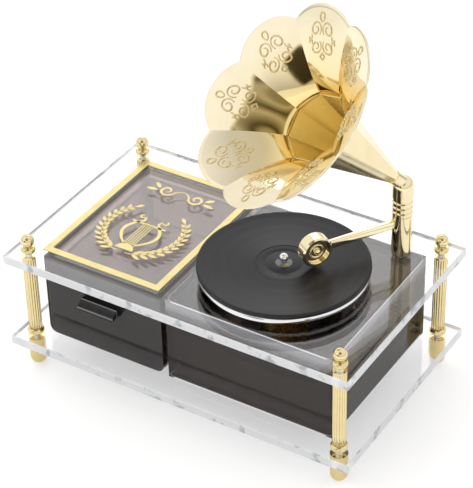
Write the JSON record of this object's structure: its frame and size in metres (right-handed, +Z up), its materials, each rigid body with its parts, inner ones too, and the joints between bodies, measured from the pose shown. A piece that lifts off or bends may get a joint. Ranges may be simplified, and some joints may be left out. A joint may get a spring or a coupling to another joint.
{
  "type": "wind-up music box",
  "caption": "Wind-up music box shaped as a small horn gramophone on a clear two-tier stand, with a drawer, a turning record and a pinned-cylinder movement.",
  "frame": {"origin": "on the table under the middle of the stand", "axes": "+X to the right along the long side, +Y to the rear, away from the drawer front, +Z up"},
  "size_m": [0.19, 0.117, 0.2032],
  "materials": {
    "clear_acrylic": "polished",
    "smoke_acrylic": "polished",
    "gilt_brass": "polished",
    "gilt_print": "satin",
    "platter_metal": "polished",
    "record_black": "grooved",
    "handle_black": "polished",
    "bright_chrome": "polished",
    "cast_alloy": "satin",
    "movement_brass": "satin",
    "steel": "brushed"
  },
  "bodies": {
    "stand": {"base_plate": "clear_acrylic", "bedplate_screws": "steel", "column_front_left": "gilt_brass", "column_front_right": "gilt_brass", "column_rear_left": "gilt_brass", "column_rear_right": "gilt_brass", "comb": "steel", "comb_base": "cast_alloy", "comb_screws": "steel", "cylinder_bracket_front": "cast_alloy", "cylinder_bracket_rear": "cast_alloy", "drawer_case": "smoke_acrylic", "finial_front_left": "gilt_brass", "finial_front_right": "gilt_brass", "finial_rear_left": "gilt_brass", "finial_rear_right": "gilt_brass", "foot_front_left": "gilt_brass", "foot_front_right": "gilt_brass", "foot_rear_left": "gilt_brass", "foot_rear_right": "gilt_brass", "gilt_frame": "gilt_print", "governor_frame": "cast_alloy", "horn_bell": "gilt_brass", "horn_elbow": "gilt_brass", "horn_neck": "gilt_brass", "movement_bedplate": "cast_alloy", "movement_case": "smoke_acrylic", "movement_floor": "smoke_acrylic", "post_collar": "gilt_brass", "post_core": "steel", "post_nut": "steel", "spindle_bush": "movement_brass", "tie_rods": "gilt_brass", "upper_plate": "clear_acrylic"},
    "drawer": {"drawer_tray": "smoke_acrylic", "drawer_front": "smoke_acrylic", "drawer_handle": "handle_black", "handle_screws": "steel"},
    "turntable": {"turntable_platter": "platter_metal", "record_disc": "record_black", "spindle_shaft": "steel", "spindle_cap": "bright_chrome", "spring_barrel": "movement_brass", "barrel_lid": "movement_brass", "mainspring": "steel"},
    "key": {"winding_key": "movement_brass", "winding_arbor": "steel"},
    "arm": {"arm_sleeve": "gilt_brass", "tone_arm": "gilt_brass", "sound_box_body": "gilt_brass", "sound_box_diaphragm": "gilt_brass", "needle": "steel"},
    "cylinder": {"pinned_cylinder": "movement_brass", "cylinder_arbor": "steel", "cylinder_pinion": "movement_brass", "cylinder_gear": "movement_brass"},
    "governor": {"governor_wheel": "movement_brass"},
    "fan": {"governor_fan": "steel"}
  },
  "joints": [
    {"name": "drawer_slide", "type": "slide", "parent": "stand", "child": "drawer", "axis": [0, -1, 0], "range_m": [0, 0.065]},
    {"name": "turntable_spin", "type": "hinge", "parent": "stand", "child": "turntable", "pos_m": [0.0305, -0.0045, 0.0755], "axis": [0, 0, 1], "continuous": true},
    {"name": "cylinder_spin", "type": "hinge", "parent": "stand", "child": "cylinder", "pos_m": [0.0305, -0.0045, 0.04095], "axis": [0, 1, 0], "continuous": true},
    {"name": "governor_spin", "type": "hinge", "parent": "stand", "child": "governor", "pos_m": [0.04138, -0.0045, 0.03467], "axis": [0, 1, 0], "continuous": true},
    {"name": "fan_spin", "type": "hinge", "parent": "stand", "child": "fan", "pos_m": [0.04664, 0.021, 0.03467], "axis": [0, 0, 1], "continuous": true},
    {"name": "key_turn", "type": "hinge", "parent": "stand", "child": "key", "pos_m": [0.0305, -0.0045, 0.008], "axis": [0, 0, 1], "continuous": true},
    {"name": "tone_arm_swing", "type": "hinge", "parent": "stand", "child": "arm", "pos_m": [0.0693, 0.0399, 0.0853], "axis": [0, 0, 1], "range_deg": [-6, 48]}
  ],
  "couplings": [
    {"joint": "cylinder_spin", "follows": "turntable_spin", "ratio": 3},
    {"joint": "governor_spin", "follows": "turntable_spin", "ratio": -12},
    {"joint": "fan_spin", "follows": "turntable_spin", "ratio": -240}
  ]
}
